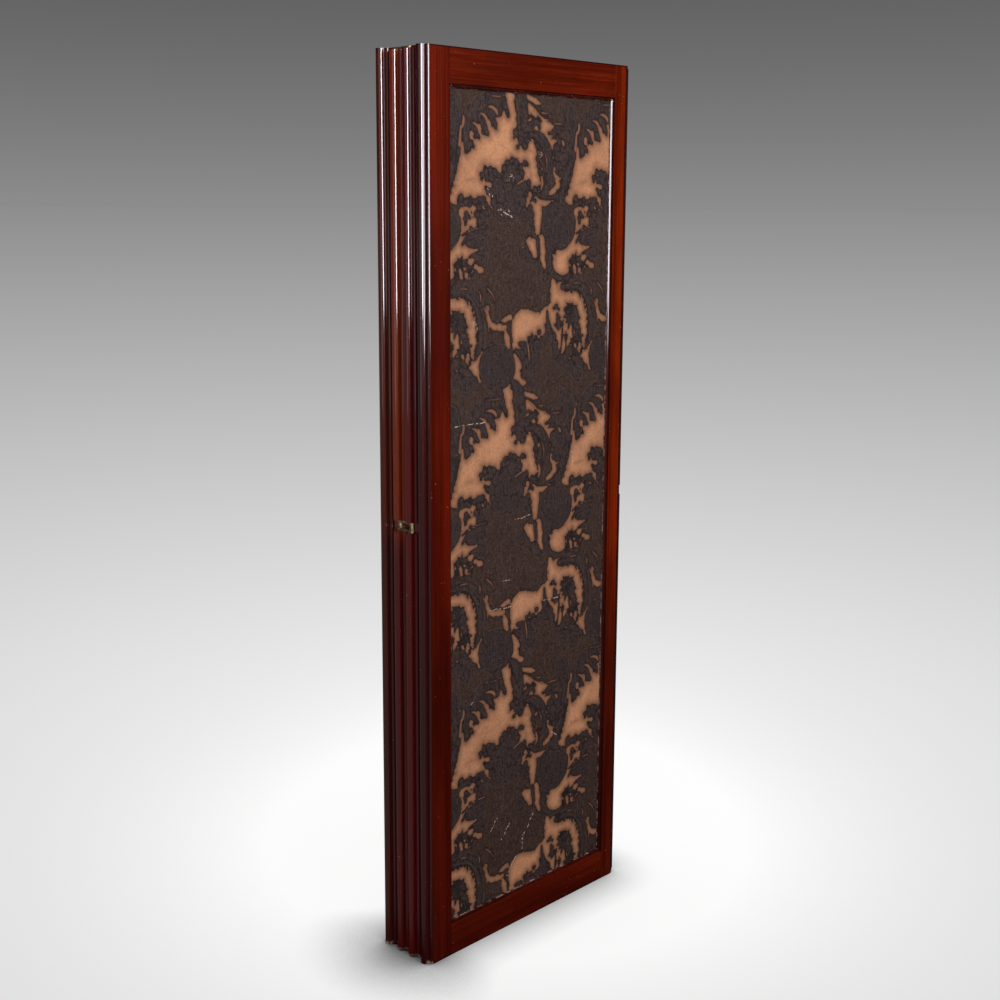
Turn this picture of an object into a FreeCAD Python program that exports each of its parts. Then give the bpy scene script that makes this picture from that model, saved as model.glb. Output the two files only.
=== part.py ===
import FreeCAD, Part
import math
import os

# A folding screen of four framed leaves, folded up and standing on its lower ends.
# Lengths are in millimetres and angles in degrees.
# X runs along the leaves, Y runs from the front leaf to the rear one, Z is up.
# The origin is on the floor, in the middle of the folded stack.
# Each leaf is drawn in a frame of its own: x is 0 where its flat face ends at the left,
# y is 0 on its front face, and z is 0 on the floor.

V = FreeCAD.Vector

# the leaf
leaf_height = 1750.0
leaf_thickness = 33.0
opening_width = 460.0
left_stile_face = 49.0
right_stile_face = 41.0
top_rail_height = 64.0
bottom_rail_height = 64.0

# the moulding on both long edges: a round bead between two rounded shoulders
nose_projection = 14.5
shoulder_projection = 4.0
shoulder_depth = 6.8
right_shoulder_reach = 9.0
quirk_width = 1.4
quirk_depth = 2.6

# the joints of the frame
tenon_length = 28.0
tenon_thickness = 11.0
tenon_shoulder = 10.0
mortise_end_gap = 1.0
joint_fit = 0.1

# the panel and what holds it
board_thickness = 15.0
groove_depth = 6.0
board_play = 0.8
covering_thickness = 0.8
covering_edge_gap = 0.3
bead_width = 7.5
bead_height = 4.7
bead_step = 1.2
bead_foot = 0.9
mitre_gap = 0.1

# how the leaves stand to each other
fold_clearance = 0.7
outer_pair_splay = 0.32
middle_pair_splay = 0.0

# the hinge links
link_radius = 6.5
link_waist = 4.4
link_hold_angle = 20.0
link_thickness = 4.5
end_link_thickness = 4.0
seat_clearance = 0.7
seat_end_gap = 0.7
link_gap = 0.3
end_link_sink = 0.5

# the tongue that is let into the stile at half height
knuckle_height = 10.0
knuckle_radius = 5.5
tongue_thickness = 3.0
tongue_height = 20.0
tongue_back_wall = 2.0
slot_end_gap = 0.5

# the pivot pins, fixed in the links
running_clearance = 0.05
pin_radius = 2.5
end_pin_length = 24.0
pin_hole_gap = 1.0

# how far a cutting solid runs past the face that it leaves
overrun = 2.0

# how far along each side of its square the middle of a quarter round lies
arc_middle_share = math.sqrt(0.5)

# worked out from the sizes above
flat_width = left_stile_face + opening_width + right_stile_face
mid_y = leaf_thickness / 2
hinge_z = leaf_height / 2
fold_pitch = leaf_thickness + fold_clearance
bead_start = shoulder_depth + quirk_width
nose_bead_radius = mid_y - bead_start
board_face = mid_y - board_thickness / 2
covering_face = board_face - covering_thickness
seat_reach = link_radius + seat_clearance
knuckle_half = knuckle_height / 2
tongue_reach = min(left_stile_face, right_stile_face) - groove_depth - tongue_back_wall
pin_half = knuckle_half + link_gap + link_thickness
end_seat_depth = end_link_sink + end_link_thickness + link_gap
pin_hole_depth = end_link_sink + end_link_thickness + end_pin_length + pin_hole_gap


def line(start, end):
    return Part.LineSegment(start, end).toShape()


def arc(start, middle, end):
    return Part.Arc(start, middle, end).toShape()


def block(x0, x1, y0, y1, z0, z1):
    """A box between two values on each axis, in either order."""
    low = V(min(x0, x1), min(y0, y1), min(z0, z1))
    return Part.makeBox(abs(x1 - x0), abs(y1 - y0), abs(z1 - z0), low)


def prism(edges, along):
    return Part.Face(Part.Wire(edges)).extrude(along)


def closed_loop(points):
    """Straight edges through the points and back to the first."""
    return [line(a, b) for a, b in zip(points, points[1:] + points[:1])]


def rod(radius, x, y, z0, z1):
    """An upright cylinder."""
    return Part.makeCylinder(radius, abs(z1 - z0), V(x, y, min(z0, z1)))


# the two long edges of a leaf: where its base line lies, which way is out, how far the stile
# reaches inwards from there
edges_of_leaf = {
    "left": (0, -1, left_stile_face),
    "right": (flat_width, 1, right_stile_face),
}


def rounded_shoulder(side):
    """Start, middle and end of the shoulder's arc, outwards and away from the face."""
    out = shoulder_projection
    if side == "left":
        return (0, 0), (out * arc_middle_share, out * (1 - arc_middle_share)), (out, out)
    reach = right_shoulder_reach
    radius = ((reach + out) ** 2 + shoulder_depth ** 2) / (2 * shoulder_depth)
    half_turn = math.asin((reach + out) / radius) / 2
    middle = (radius * math.sin(half_turn) - reach, radius * (1 - math.cos(half_turn)))
    return (-reach, 0), middle, (out, shoulder_depth)


def stile_outline(side, base, out, face):
    """Section of a stile, with the bead, quirks and shoulders of its outer edge."""
    shoulder = shoulder_projection
    bead_centre = nose_projection - nose_bead_radius
    start, middle, end = rounded_shoulder(side)

    def at(u, y):
        return V(base + out * u, y, 0)

    def half_edge(back):
        """From the flat face to the bead, on the front for back 0, the back for back 1."""
        def on(u, y):
            return at(u, leaf_thickness - y if back else y)
        made = [
            line(on(-face, 0), on(*start)),
            arc(on(*start), on(*middle), on(*end)),
            line(on(shoulder, shoulder_depth),
                 on(shoulder - quirk_depth, shoulder_depth + quirk_width / 2)),
            line(on(shoulder - quirk_depth, shoulder_depth + quirk_width / 2),
                 on(bead_centre, bead_start)),
        ]
        if end[1] < shoulder_depth:
            made.append(line(on(*end), on(shoulder, shoulder_depth)))
        return made

    bead = arc(at(bead_centre, bead_start), at(nose_projection, mid_y),
               at(bead_centre, leaf_thickness - bead_start))
    inner = line(at(-face, leaf_thickness), at(-face, 0))
    return Part.Wire(Part.__sortEdges__(half_edge(0) + [bead] + half_edge(1) + [inner]))


def tenon_span(rail):
    """Lowest and highest z of a rail's tenon."""
    if rail == "top":
        return leaf_height - top_rail_height + tenon_shoulder, leaf_height - tenon_shoulder
    return tenon_shoulder, bottom_rail_height - tenon_shoulder


def hinge_seat(base, out, partner, z0, z1):
    """Room for a link: chiselled square behind the pivot, open outwards and to the partner."""
    far_y = mid_y + partner * (mid_y + overrun)
    outer = block(base, base + out * (nose_projection + overrun),
                  -overrun, leaf_thickness + overrun, z0, z1)
    side = block(base - out * seat_reach, base + out * overrun,
                 mid_y - partner * seat_reach, far_y, z0, z1)
    return outer.fuse(side)


def hinge_cuts(base, out, partner):
    """What is cut from a stile for its hinge."""
    top_end = leaf_height
    seat_half = pin_half + seat_end_gap
    return [
        hinge_seat(base, out, partner, hinge_z - seat_half, hinge_z + seat_half),
        hinge_seat(base, out, partner, top_end - end_seat_depth, top_end + overrun),
        hinge_seat(base, out, partner, -overrun, end_seat_depth),
        block(base - out * (tongue_reach + slot_end_gap), base,
              mid_y - tongue_thickness / 2 - joint_fit, mid_y + tongue_thickness / 2 + joint_fit,
              hinge_z - tongue_height / 2 - joint_fit, hinge_z + tongue_height / 2 + joint_fit),
        rod(pin_radius + running_clearance, base, mid_y, top_end, top_end - pin_hole_depth),
        rod(pin_radius + running_clearance, base, mid_y, 0, pin_hole_depth),
    ]


def stile(side, partner):
    """A full height stile. partner is 1 or -1 where a leaf hangs on its back or front, else 0."""
    base, out, face = edges_of_leaf[side]
    inner_x = base - out * face
    body = Part.Face(stile_outline(side, base, out, face)).extrude(V(0, 0, leaf_height))
    cuts = [block(inner_x - out * overrun, inner_x + out * groove_depth,
                  board_face - joint_fit, leaf_thickness - board_face + joint_fit,
                  bottom_rail_height - groove_depth, leaf_height - top_rail_height + groove_depth)]
    for rail in ("top", "bottom"):
        low, high = tenon_span(rail)
        cuts.append(block(inner_x - out * overrun, inner_x + out * (tenon_length + mortise_end_gap),
                          mid_y - tenon_thickness / 2 - joint_fit,
                          mid_y + tenon_thickness / 2 + joint_fit,
                          low - joint_fit, high + joint_fit))
    if partner:
        cuts += hinge_cuts(base, out, partner)
    return body.cut(cuts).removeSplitter()


def rail(which):
    """A rail between the stiles, with a tenon at each end and the panel's groove."""
    left = left_stile_face
    right = flat_width - right_stile_face
    if which == "top":
        low, high = leaf_height - top_rail_height, leaf_height
        groove = (low - overrun, low + groove_depth)
    else:
        low, high = 0, bottom_rail_height
        groove = (high - groove_depth, high + overrun)
    tenon_low, tenon_high = tenon_span(which)
    body = block(left, right, 0, leaf_thickness, low, high)
    tenon = block(left - tenon_length, right + tenon_length,
                  mid_y - tenon_thickness / 2, mid_y + tenon_thickness / 2, tenon_low, tenon_high)
    slot = block(left - overrun, right + overrun, board_face - joint_fit,
                 leaf_thickness - board_face + joint_fit, groove[0], groove[1])
    return body.cut(slot).fuse(tenon.cut(slot)).removeSplitter()


def panel_board():
    """The board in the grooves of the frame, with a little play for the wood to move."""
    grip = groove_depth - board_play
    return block(left_stile_face - grip, flat_width - right_stile_face + grip,
                 board_face, leaf_thickness - board_face,
                 bottom_rail_height - grip, leaf_height - top_rail_height + grip)


def covering(side):
    """The thin covering pasted on one side of the board."""
    y0, y1 = covering_face, board_face
    if side == "back":
        y0, y1 = leaf_thickness - y1, leaf_thickness - y0
    return block(left_stile_face + covering_edge_gap,
                 flat_width - right_stile_face - covering_edge_gap, y0, y1,
                 bottom_rail_height + covering_edge_gap,
                 leaf_height - top_rail_height - covering_edge_gap)


def bead_section(place):
    """Section of a sight bead. place(w, h) gives the point at width w from the frame and
    height h above the covering."""
    middle = place(bead_step + (bead_width - bead_step) * arc_middle_share,
                   bead_foot + (bead_height - bead_foot) * arc_middle_share)
    return [
        line(place(0, 0), place(0, bead_height)),
        line(place(0, bead_height), place(bead_step, bead_height)),
        arc(place(bead_step, bead_height), middle, place(bead_width, bead_foot)),
        line(place(bead_width, bead_foot), place(bead_width, 0)),
        line(place(bead_width, 0), place(0, 0)),
    ]


def sight_beads(side):
    """Four mitred lengths that cover the edge of the covering on one side."""
    x0, x1 = left_stile_face, flat_width - right_stile_face
    z0, z1 = bottom_rail_height, leaf_height - top_rail_height
    gap = mitre_gap / 2

    def height(h):
        y = covering_face - h
        return leaf_thickness - y if side == "back" else y

    def mitre(corners):
        """Keeps what lies between the two mitred ends of a length."""
        low_y = height(-overrun)
        deep = height(bead_height + overrun) - low_y
        points = [V(x, low_y, z) for x, z in corners]
        return prism(closed_loop(points), V(0, deep, 0))

    reach = bead_width + overrun
    upright = V(0, 0, z1 - z0)
    across = V(x1 - x0, 0, 0)
    lengths = [
        (prism(bead_section(lambda w, h: V(x0 + w, height(h), z0)), upright),
         [(x0, z0 + gap), (x0, z1 - gap), (x0 + reach, z1 - gap - reach), (x0 + reach, z0 + gap + reach)]),
        (prism(bead_section(lambda w, h: V(x1 - w, height(h), z0)), upright),
         [(x1, z0 + gap), (x1, z1 - gap), (x1 - reach, z1 - gap - reach), (x1 - reach, z0 + gap + reach)]),
        (prism(bead_section(lambda w, h: V(x0, height(h), z0 + w)), across),
         [(x0 + gap, z0), (x1 - gap, z0), (x1 - gap - reach, z0 + reach), (x0 + gap + reach, z0 + reach)]),
        (prism(bead_section(lambda w, h: V(x0, height(h), z1 - w)), across),
         [(x0 + gap, z1), (x1 - gap, z1), (x1 - gap - reach, z1 - reach), (x0 + gap + reach, z1 - reach)]),
    ]
    return Part.makeCompound([length.common(mitre(corners)).Solids[0] for length, corners in lengths])


def leaf_pieces(left_partner, right_partner):
    """The frame, panel and trim of one leaf."""
    return {
        "left_stile": stile("left", left_partner),
        "right_stile": stile("right", right_partner),
        "top_rail": rail("top"),
        "bottom_rail": rail("bottom"),
        "panel_board": panel_board(),
        "front_covering": covering("front"),
        "back_covering": covering("back"),
        "front_beads": sight_beads("front"),
        "back_beads": sight_beads("back"),
    }


def tongue(base, out):
    """Plate let into the stile, with the knuckle that the pivot pin goes through."""
    low, high = hinge_z - knuckle_half, hinge_z + knuckle_half
    knuckle = rod(knuckle_radius, base, mid_y, low, high)
    neck = block(base, base - out * seat_reach, mid_y - knuckle_radius, mid_y + knuckle_radius,
                 low, high)
    plate = block(base - out * seat_reach, base - out * tongue_reach,
                  mid_y - tongue_thickness / 2, mid_y + tongue_thickness / 2,
                  hinge_z - tongue_height / 2, hinge_z + tongue_height / 2)
    bore = rod(pin_radius + running_clearance, base, mid_y, low - overrun, high + overrun)
    return knuckle.fuse([neck, plate]).cut(bore).removeSplitter()


def link_outline(z):
    """Waisted plate round two eyes, drawn from the first pivot towards the second one."""
    hold = math.radians(link_hold_angle)
    eye_x, eye_y = link_radius * math.cos(hold), link_radius * math.sin(hold)
    far = fold_pitch
    return [
        arc(V(eye_x, eye_y, z), V(0, -link_radius, z), V(-eye_x, eye_y, z)),
        arc(V(-eye_x, eye_y, z), V(-link_waist, far / 2, z), V(-eye_x, far - eye_y, z)),
        arc(V(-eye_x, far - eye_y, z), V(0, far + link_radius, z), V(eye_x, far - eye_y, z)),
        arc(V(eye_x, far - eye_y, z), V(link_waist, far / 2, z), V(eye_x, eye_y, z)),
    ]


def pivot_pins(z0, z1):
    return [rod(pin_radius, 0, y, z0, z1) for y in (0, fold_pitch)]


def middle_link():
    """The two plates at half height and the pins that are riveted through them."""
    lower = prism(link_outline(hinge_z - pin_half), V(0, 0, link_thickness))
    upper = prism(link_outline(hinge_z + pin_half), V(0, 0, -link_thickness))
    return lower.fuse([upper] + pivot_pins(hinge_z - pin_half, hinge_z + pin_half)).removeSplitter()


def end_link(end_z, inward):
    """The plate in the ends of two stiles, with a fixed pin for each of them. inward is the
    z direction into the wood."""
    face_z = end_z + inward * end_link_sink
    inner_z = face_z + inward * end_link_thickness
    plate = prism(link_outline(face_z), V(0, 0, inner_z - face_z))
    return plate.fuse(pivot_pins(inner_z, inner_z + inward * end_pin_length)).removeSplitter()


def link_pieces():
    """What turns between two leaves, in a frame whose y points from pivot to pivot."""
    return {
        "middle_link": middle_link(),
        "top_link": end_link(leaf_height, -1),
        "bottom_link": end_link(0, 1),
    }


def shift(x, y):
    return FreeCAD.Placement(V(x, y, 0), FreeCAD.Rotation())


def turn(angle):
    return FreeCAD.Placement(V(0, 0, 0), FreeCAD.Rotation(V(0, 0, 1), angle))


# the hinges in order from the front: the edge they are on and how far that pair stands open
hinge_plan = [("right", outer_pair_splay), ("left", middle_pair_splay), ("right", outer_pair_splay)]


def chain(first):
    """Places of the leaves and of the links between them, from the front leaf backwards.
    Each of a link's two pivots takes half of the angle between its leaves."""
    leaves, links = [first], []
    for side, splay in hinge_plan:
        base, out, _ = edges_of_leaf[side]
        half = turn(-out * splay / 2)
        link = leaves[-1].multiply(shift(base, mid_y)).multiply(half)
        links.append(link)
        leaves.append(link.multiply(shift(0, fold_pitch)).multiply(half)
                      .multiply(shift(-base, -mid_y)))
    return leaves, links


def stack_middle():
    """Middle of the folded stack, from the front leaf's own frame."""
    rear = chain(FreeCAD.Placement())[0][-1]
    far_x = rear.multVec(V(flat_width, mid_y, 0)).x + nose_projection
    far_y = rear.multVec(V(0, leaf_thickness, 0)).y
    return (far_x - nose_projection) / 2, far_y / 2


def save(name, shape, place):
    placed = shape.copy()
    placed.Placement = place.multiply(placed.Placement)
    placed.exportStep("parts/" + name + ".step")


middle_x, middle_y = stack_middle()
leaf_places, link_places = chain(shift(-middle_x, -middle_y))
hinge_sides = [side for side, _ in hinge_plan]

os.makedirs("parts", exist_ok=True)

for index, place in enumerate(leaf_places):
    partners = {"left": 0, "right": 0}
    if index > 0:
        partners[hinge_sides[index - 1]] = -1
    if index < len(hinge_sides):
        partners[hinge_sides[index]] = 1
    for piece, shape in leaf_pieces(partners["left"], partners["right"]).items():
        save("leaf_%d_%s" % (index + 1, piece), shape, place)

link_shapes = link_pieces()
for index, side in enumerate(hinge_sides):
    hinge = "hinge_%d%d_" % (index + 1, index + 2)
    for piece, shape in link_shapes.items():
        save(hinge + piece, shape, link_places[index])
    base, out, _ = edges_of_leaf[side]
    for leaf_index in (index, index + 1):
        save(hinge + "tongue_%d" % (leaf_index + 1), tongue(base, out), leaf_places[leaf_index])

for index, place in enumerate(link_places):
    first = place.Base
    second = place.multVec(V(0, fold_pitch, 0))
    print("hinge", index + 1, "pivots", round(first.x, 4), round(first.y, 4),
          "and", round(second.x, 4), round(second.y, 4))
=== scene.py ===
import math
import bpy
import numpy as np
from mathutils import Matrix, Vector


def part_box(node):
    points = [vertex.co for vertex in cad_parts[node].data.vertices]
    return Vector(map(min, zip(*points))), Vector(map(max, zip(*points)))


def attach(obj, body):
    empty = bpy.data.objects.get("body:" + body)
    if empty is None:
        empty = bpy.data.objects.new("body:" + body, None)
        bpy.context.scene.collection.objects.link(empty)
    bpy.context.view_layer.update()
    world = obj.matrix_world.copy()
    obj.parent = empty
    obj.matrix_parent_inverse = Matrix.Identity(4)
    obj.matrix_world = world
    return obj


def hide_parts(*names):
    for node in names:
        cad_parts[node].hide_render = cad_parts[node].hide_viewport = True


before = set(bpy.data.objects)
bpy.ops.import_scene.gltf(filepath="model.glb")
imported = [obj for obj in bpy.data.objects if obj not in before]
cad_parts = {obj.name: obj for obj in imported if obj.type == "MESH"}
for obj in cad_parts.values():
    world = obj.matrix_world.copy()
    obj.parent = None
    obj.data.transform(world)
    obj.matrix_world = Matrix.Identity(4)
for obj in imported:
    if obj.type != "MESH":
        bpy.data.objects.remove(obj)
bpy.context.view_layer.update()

# A folded four leaf screen in polished mahogany with leather paper on both sides.
# Metres, z up. The front leaf faces -y. All lengths below are in metres unless said otherwise.

mm = 0.001
tiny = 1e-9  # keeps a division off zero


# small helpers for node trees

def addNode(tree, kind, inputs=None, **settings):
    # one node: settings are its properties, inputs are numbers or other nodes' outputs
    node = tree.nodes.new(kind)
    for name, value in settings.items():
        setattr(node, name, value)
    for key, value in (inputs or {}).items():
        if isinstance(value, bpy.types.NodeSocket):
            tree.links.new(value, node.inputs[key])
        else:
            node.inputs[key].default_value = value
    return node


def calc(tree, operation, a, b=0.0, c=0.0, clamp=False):
    node = addNode(tree, "ShaderNodeMath", {0: a, 1: b, 2: c}, operation=operation, use_clamp=clamp)
    return node.outputs[0]


def remap(tree, value, low, high, toLow=0.0, toHigh=1.0, smooth=True):
    return addNode(tree, "ShaderNodeMapRange", {
        "Value": value, "From Min": low, "From Max": high, "To Min": toLow, "To Max": toHigh},
        interpolation_type="SMOOTHSTEP" if smooth else "LINEAR").outputs["Result"]


def mixColour(tree, share, a, b):
    return addNode(tree, "ShaderNodeMix", {0: share, 6: a, 7: b}, data_type="RGBA").outputs[2]


def tinted(tree, colour, tone, mask, share=1.0):
    # the colour moved towards the tone by mask * share
    return mixColour(tree, calc(tree, "MULTIPLY", mask, share), colour, tone)


def stretched(tree, vector, scale, location=(0, 0, 0), rotation=(0, 0, 0)):
    return addNode(tree, "ShaderNodeMapping", {"Vector": vector, "Location": location, "Rotation": rotation,
                                               "Scale": scale}).outputs[0]


def noise(tree, vector, scale, detail, roughness):
    # scale is one number, or three that stretch the pattern
    if isinstance(scale, tuple):
        vector, scale = stretched(tree, vector, scale), 1.0
    return addNode(tree, "ShaderNodeTexNoise", {"Vector": vector, "Scale": scale, "Detail": detail,
                                                "Roughness": roughness}).outputs["Fac"]


def patches(tree, vector, look):
    # mask: look is the noise's (scale, detail, roughness), then the noise where the mask is 0 and where 1
    *pattern, low, high = look
    return remap(tree, noise(tree, vector, *pattern), low, high)


def swayed(tree, value, vector, look):
    # value + reach * (noise - middle): look is the noise's (scale, detail, roughness), then reach and middle
    *pattern, reach, middle = look
    return calc(tree, "ADD", value, calc(tree, "MULTIPLY_ADD", noise(tree, vector, *pattern), reach,
                                         -reach * middle))


def newGroup(name, inputs, outputs):
    # inputs and outputs are {name: kind}, with kind Float, Color or Vector
    group = bpy.data.node_groups.new(name, "ShaderNodeTree")
    for direction, sockets in (("INPUT", inputs), ("OUTPUT", outputs)):
        for socket, kind in sockets.items():
            group.interface.new_socket(socket, in_out=direction, socket_type="NodeSocket" + kind)
    return group, group.nodes.new("NodeGroupInput").outputs, group.nodes.new("NodeGroupOutput").inputs


def newMaterial(name):
    # the material, its tree, the coordinates it can read and the output's inputs
    material = bpy.data.materials.new(name)
    material.use_nodes = True
    tree = material.node_tree
    tree.nodes.clear()
    output = tree.nodes.new("ShaderNodeOutputMaterial")
    return material, tree, tree.nodes.new("ShaderNodeTexCoord").outputs, output.inputs


def addShader(tree, output, inputs):
    shader = addNode(tree, "ShaderNodeBsdfPrincipled", inputs)
    tree.links.new(shader.outputs[0], output["Surface"])


# wood grain, shared by every mahogany piece: each pattern's stretch across and along the grain, detail and
# roughness, and for pores and bruises the noise where they begin and where they are full

grainLook = {
    "sway": ((5, 5, 1.2), 2.0, 0.55), "swayBy": 0.012, "figure": ((16, 16, 1.1), 3.0, 0.55),
    "ribbon": ((95, 95, 1.6), 3.0, 0.6), "streak": ((420, 420, 7), 2.0, 0.6), "figureShare": 0.52,
    "ribbonShare": 0.55, "streakShare": 0.34, "darkest": 0.54, "lightest": 0.88,
    "pore": ((1300, 1300, 42), 1.0, 0.55, 0.56, 0.68), "poreTone": (0.012, 0.002, 0.001, 1),
    "bruise": ((38, 38, 13), 4.0, 0.7, 0.62, 0.74), "bruiseTone": (0.010, 0.0015, 0.001, 1),
    "haze": (9.0, 4.0, 0.65), "roughness": 0.12, "hazeRoughness": 0.10, "poreRoughness": 0.25,
    "streakHeight": 0.25, "poreHeight": -0.8}


def makeGrainGroup():
    # the grain runs along the vector's z axis: broad figure, ribbon stripes, fine streaks and pores
    group, source, result = newGroup(
        "mahoganyGrain", {"Vector": "Vector", "Dark": "Color", "Light": "Color", "Pores": "Float",
                          "Wear": "Float"}, {"Color": "Color", "Roughness": "Float", "Height": "Float"})
    vector = source["Vector"]
    sway = calc(group, "MULTIPLY", noise(group, vector, *grainLook["sway"]), grainLook["swayBy"])
    aside = addNode(group, "ShaderNodeCombineXYZ", {0: sway}).outputs[0]
    bent = addNode(group, "ShaderNodeVectorMath", {0: vector, 1: aside}, operation="ADD").outputs[0]
    # tone = figure, ribbon and streak, each times its share
    figure, ribbon, streak = (noise(group, bent, *grainLook[part]) for part in ("figure", "ribbon", "streak"))
    tone = calc(group, "MULTIPLY", streak, grainLook["streakShare"])
    tone = calc(group, "MULTIPLY_ADD", ribbon, grainLook["ribbonShare"], tone)
    tone = calc(group, "MULTIPLY_ADD", figure, grainLook["figureShare"], tone)
    share = remap(group, tone, grainLook["darkest"], grainLook["lightest"])
    colour = mixColour(group, share, source["Dark"], source["Light"])
    pores = calc(group, "MULTIPLY", patches(group, bent, grainLook["pore"]), source["Pores"])
    colour = mixColour(group, pores, colour, grainLook["poreTone"])
    bruises = patches(group, vector, grainLook["bruise"])
    colour = tinted(group, colour, grainLook["bruiseTone"], bruises, source["Wear"])
    rough = calc(group, "MULTIPLY_ADD", pores, grainLook["poreRoughness"], grainLook["roughness"])
    haze = noise(group, vector, *grainLook["haze"])
    rough = calc(group, "MULTIPLY_ADD", haze, grainLook["hazeRoughness"], rough)
    height = calc(group, "MULTIPLY_ADD", streak, grainLook["streakHeight"],
                  calc(group, "MULTIPLY", pores, grainLook["poreHeight"]))
    for name, value in (("Color", colour), ("Roughness", rough), ("Height", height)):
        group.links.new(value, result[name])
    return group


leftStile = {"dark": (0.058, 0.0035, 0.0010, 1), "light": (0.155, 0.0108, 0.0025, 1), "pores": 0.40,
             "wear": 0.35, "side": (0.030, 0.0034, 0.0036, 1), "sideShare": 0.85, "low": 0.55, "zones": 0.62,
             "darkAt": 1.27, "faceGloss": 0.07, "grain": "z"}
woodTones = {
    # name: darkest and lightest tone, pores, wear, the tone of the moulded sides, above and below the hinge,
    # and its share (on the right stile a near-black painted shade where its sides turn from the light), the
    # share of painted shade that darkens the wood towards the floor, how much darker some zones of the figure
    # are and the height of one such zone, how much of the mouldings' gloss the flat faces keep, the way the
    # grain runs and where it was cut from
    "firstLeftStile": {**leftStile, "cut": (0.3, 0.7, 0.1)},
    "secondLeftStile": {**leftStile, "side": (0.085, 0.0048, 0.0050, 1), "low": 0.40, "cut": (2.3, 1.7, 0.4)},
    "thirdLeftStile": {**leftStile, "side": (0.190, 0.0235, 0.0045, 1),
                       "sideLow": (0.080, 0.0062, 0.0058, 1), "cut": (3.3, 0.9, 1.1)},
    "fourthLeftStile": {**leftStile, "side": (0.078, 0.0110, 0.0045, 1),
                        "sideLow": (0.046, 0.0085, 0.0060, 1), "low": 0.35, "cut": (1.3, 2.7, 3.1)},
    # the right stile's near-black side tone is painted shade where its moulded edges turn from the light
    "rightStileWood": {"dark": (0.085, 0.0060, 0.0008, 1), "light": (0.250, 0.0220, 0.0020, 1),
                       "pores": 0.35, "wear": 0.25, "side": (0.016, 0.0022, 0.0018, 1), "sideShare": 0.85,
                       "low": 0.70, "zones": 0.15, "darkAt": 1.05, "faceGloss": 0.07, "grain": "z",
                       "cut": (1.9, 0.2, 2.3)},
    "railWood": {"dark": (0.070, 0.0050, 0.0010, 1), "light": (0.185, 0.0155, 0.0028, 1), "pores": 0.45,
                 "wear": 0.45, "side": (0.016, 0.0022, 0.0018, 1), "sideShare": 0.35, "low": 0.40,
                 "zones": 0.0, "faceGloss": 0.07, "grain": "x", "cut": (0.8, 3.1, 0.6)},
    "beadWood": {"dark": (0.020, 0.0020, 0.0010, 1), "light": (0.085, 0.0085, 0.0035, 1), "pores": 0.35,
                 "wear": 0.50, "side": (0.016, 0.0022, 0.0018, 1), "sideShare": 0.30, "low": 0.30,
                 "zones": 0.0, "faceGloss": 1.0, "grain": "z", "cut": (4.2, 1.1, 0.9), "arris": True},
}
polish = {
    "coatRoughness": 0.085, "specular": 0.05, "bump": 0.12, "bumpDepth": 0.25 * mm,
    # clouds of darker polish, zones of them along the stiles, and painted shade darkening the wood towards
    # the floor
    "cloudTone": (0.030, 0.0022, 0.0010, 1), "clouds": ((9, 9, 3.4), 3.0, 0.6, 0.46, 0.66),
    "cloudShare": 0.40, "zoneLength": 0.76, "zoneSway": ((30, 30, 5), 3.0, 0.55, 1.4, 0.0),
    "zoneEdge": (0.3, 1.9), "lowShadeTone": (0.030, 0.0025, 0.0015, 1), "drift": (3.2, 3.0, 0.6), "lowDrift": 0.5,
    "lowHeights": (1.40, 0.45),
    # mouldings, whose side tone on the right stile is painted shade: how far their faces turn sideways, the
    # planes where the flat face ends, and their lower tone
    "sideFacing": (0.12, 0.55), "faceEnd": -0.2756, "shoulder": 0.2657, "sideEdge": 0.8 * mm,
    "sideDrift": 0.10, "sideHeights": (0.96, 0.84),
    # darker top ends, painted shade at the foot where the wood meets the floor, scuffed feet and small bare
    # chips
    "endTone": (0.013, 0.0018, 0.0016, 1), "endShare": 0.8, "topHeights": (1.7465, 1.7485),
    "footHeights": (0.0045, 0.0015), "scuffTone": (0.34, 0.24, 0.19, 1), "scuffHeights": (0.009, 0.0027),
    "scuffs": (95.0, 3.0, 0.6, 0.47, 0.56), "chipTone": (0.36, 0.22, 0.13, 1),
    "chips": (210.0, 2.0, 0.55, 0.735, 0.75), "chipSpread": (11.0, 2.0, 0.55, 0.46, 0.56),
    # a painted highlight along the sight beads' arris, and knocks at the upper ends of the mouldings
    "paintedHighlight": (0.24, 0.16, 0.15, 1), "highlightWidth": 0.8 * mm, "highlightGaps": (48.0, 4.0, 0.7, 0.44, 0.60),
    "arrisAcross": (-0.2189, 0.2261), "arrisHigh": (0.0713, 1.6787), "knock": ((60, 60, 190), 2.0, 0.55),
    "knockHeights": (1.690, 1.702), "knockDepth": 45.0}


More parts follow.
